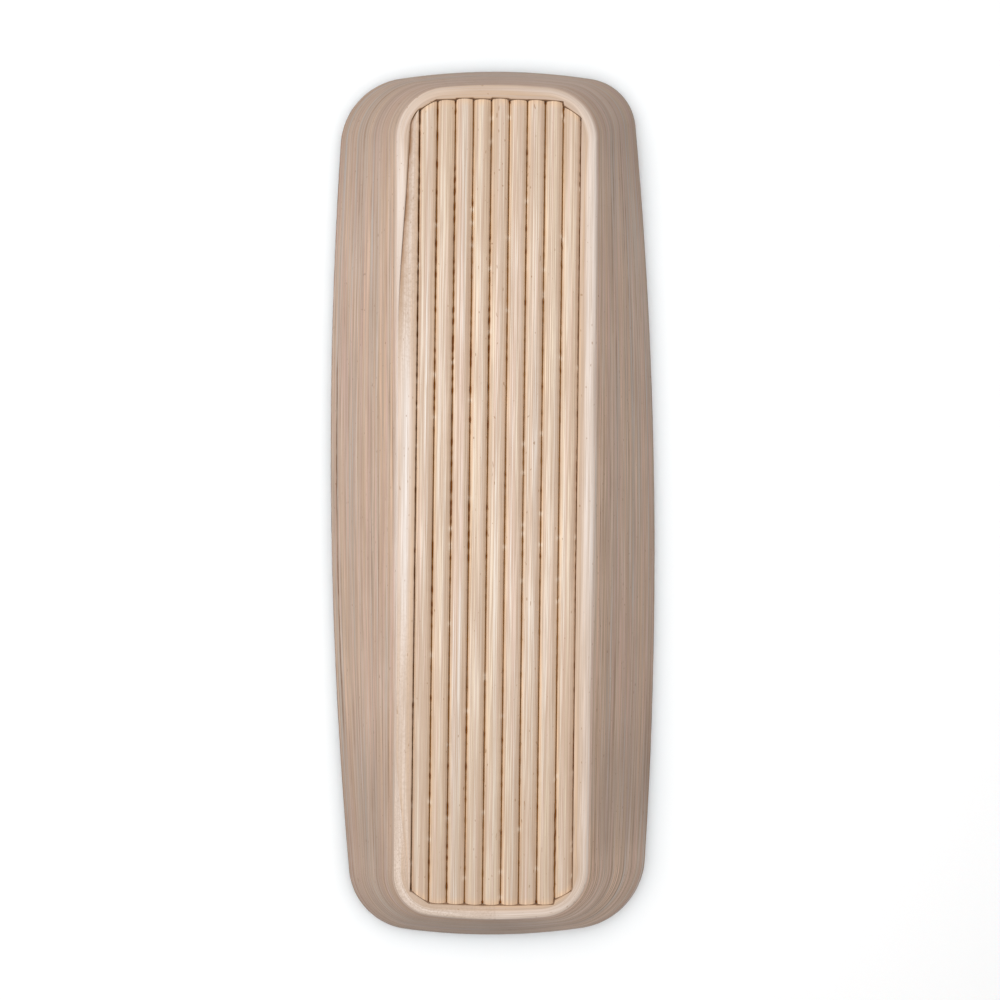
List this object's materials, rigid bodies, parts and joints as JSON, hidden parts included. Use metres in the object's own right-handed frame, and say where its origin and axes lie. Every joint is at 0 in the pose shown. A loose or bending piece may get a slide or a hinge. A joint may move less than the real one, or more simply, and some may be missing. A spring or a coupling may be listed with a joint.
{
  "type": "coiled bamboo tray",
  "caption": "Long narrow tray of coiled bamboo strips, lying face down: a bed of half-round canes in a sanded foot ring, with flaring walls of strip wound on edge.",
  "frame": {"origin": "middle of the rim, in the plane that the tray lies on, mouth down", "axes": "+Y along the tray, +X across it, +Z from the rim up to the foot ring"},
  "size_m": [0.1684, 0.4496, 0.07],
  "materials": {
    "cane": "half-round bamboo cane, sanded, bare",
    "foot_strip": "bamboo strip on edge, sanded flat and pale, bare",
    "wall_strip": "bamboo strip on edge, sanded smooth, bare"
  },
  "bodies": {
    "root": {"cane_1": "cane", "cane_2": "cane", "cane_3": "cane", "cane_4": "cane", "cane_5": "cane", "cane_6": "cane", "cane_7": "cane", "cane_8": "cane", "cane_9": "cane", "coil_start": "foot_strip", "foot_turn_1": "foot_strip", "foot_turn_2": "foot_strip", "foot_turn_3": "foot_strip", "foot_turn_4": "foot_strip", "wall_turn_01": "wall_strip", "wall_turn_02": "wall_strip", "wall_turn_03": "wall_strip", "wall_turn_04": "wall_strip", "wall_turn_05": "wall_strip", "wall_turn_06": "wall_strip", "wall_turn_07": "wall_strip", "wall_turn_08": "wall_strip", "wall_turn_09": "wall_strip", "wall_turn_10": "wall_strip", "wall_turn_11": "wall_strip", "wall_turn_12": "wall_strip", "wall_turn_13": "wall_strip", "wall_turn_14": "wall_strip", "wall_turn_15": "wall_strip", "wall_turn_16": "wall_strip", "wall_turn_17": "wall_strip", "wall_turn_18": "wall_strip", "wall_turn_19": "wall_strip", "wall_turn_20": "wall_strip"}
  },
  "joints": []
}
